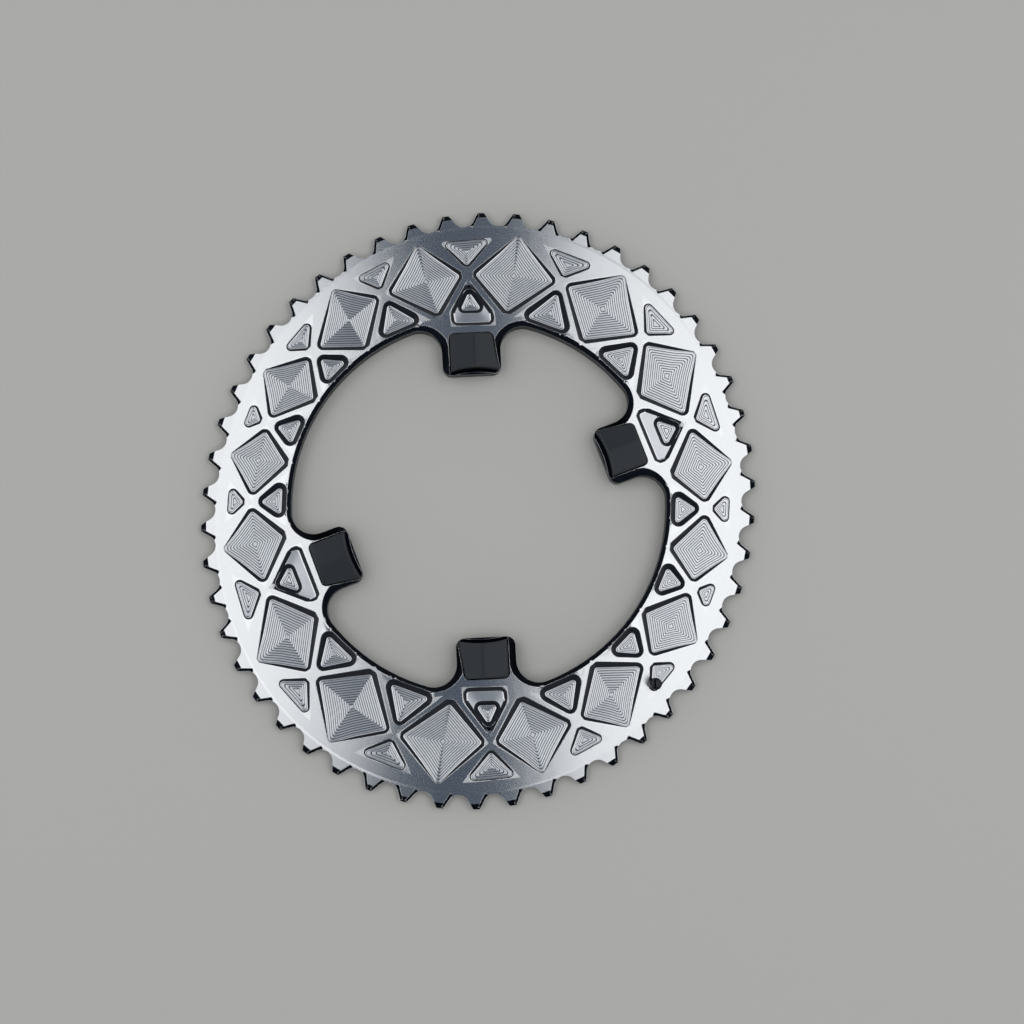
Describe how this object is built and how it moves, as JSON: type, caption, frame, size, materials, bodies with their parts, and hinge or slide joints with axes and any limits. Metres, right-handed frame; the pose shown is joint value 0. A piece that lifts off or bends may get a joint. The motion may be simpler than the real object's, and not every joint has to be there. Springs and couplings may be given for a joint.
{
  "type": "bicycle chainring",
  "caption": "Oval outer chainring for a bicycle crank: toothed rim, coned face milled into a lattice of ribs, tapped tabs under moulded bolt covers.",
  "frame": {"origin": "on the ring's axis, at the centre of the bolt circle, in the plane of the back land the ring lies on", "axes": "+Z along the ring's axis towards the side that shows, +X in the direction of the crank arm, +Y across it"},
  "size_m": [0.1966, 0.2118, 0.0096],
  "materials": {
    "anodised_aluminium": "satin",
    "cover_plastic": "satin",
    "steel": "satin",
    "black_steel": "gloss"
  },
  "bodies": {
    "root": {"chainring": "anodised_aluminium", "bolt_cover_1": "cover_plastic", "bolt_cover_2": "cover_plastic", "bolt_cover_3": "cover_plastic", "bolt_cover_4": "cover_plastic", "shift_pin_1": "steel", "shift_pin_2": "steel", "shift_pin_3": "steel", "shift_pin_4": "steel", "shift_pin_5": "steel", "shift_pin_6": "steel", "chain_catch_pin": "black_steel"}
  },
  "joints": []
}
